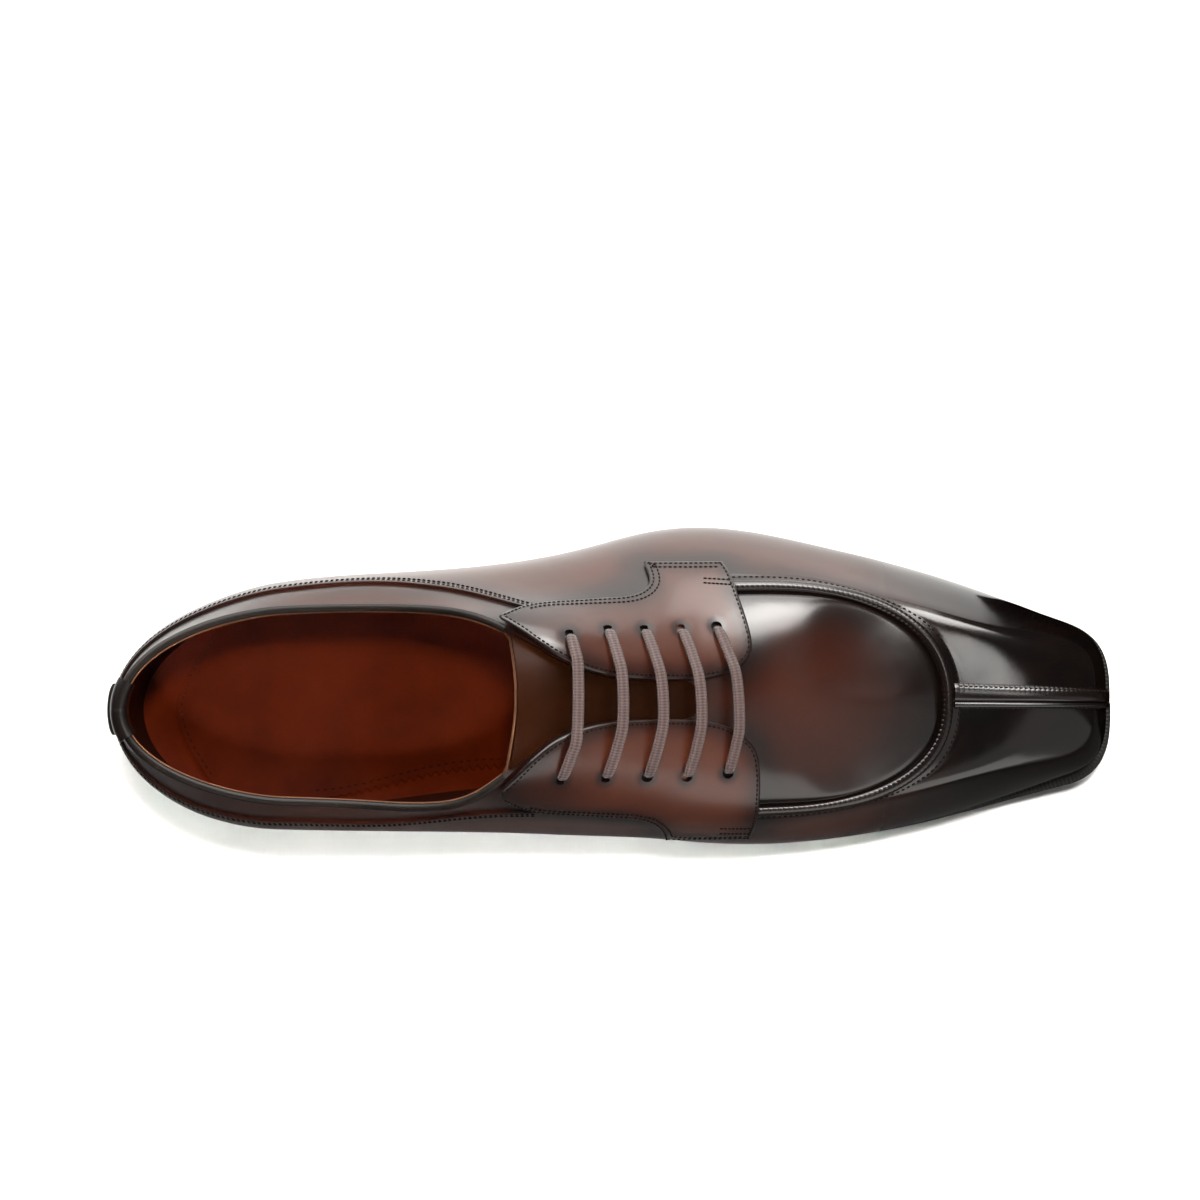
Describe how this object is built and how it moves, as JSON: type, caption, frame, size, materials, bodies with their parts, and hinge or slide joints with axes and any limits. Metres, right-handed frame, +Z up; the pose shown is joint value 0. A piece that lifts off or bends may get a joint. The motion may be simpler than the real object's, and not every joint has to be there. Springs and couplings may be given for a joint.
{
  "type": "dress shoe",
  "caption": "Left split-toe derby dress shoe: hollow leather upper with laced facings and apron seam, tongue, insole, and a welted sole with a block heel.",
  "frame": {"origin": "middle of the bounding box on the floor", "axes": "+X towards the toe, +Y towards the outside of the left foot, +Z up from the floor"},
  "size_m": [0.3041, 0.0974, 0.0982],
  "materials": {
    "sole_leather": "black waxed edge",
    "lining_leather": "matt lining leather",
    "calf": "glossy burnished calf",
    "calf_dark": "glossy dark calf",
    "lace": "waxed woven lace"
  },
  "bodies": {
    "root": {"outsole": "sole_leather", "welt": "sole_leather", "heel": "sole_leather", "insole": "lining_leather", "upper": "calf", "tongue": "calf", "facing_lateral": "calf", "facing_medial": "calf", "apron_seam": "calf_dark", "toe_seam": "calf_dark", "heel_tab": "calf_dark", "lace_bar_1": "lace", "lace_bar_2": "lace", "lace_bar_3": "lace", "lace_bar_4": "lace", "lace_bar_5": "lace"}
  },
  "joints": []
}
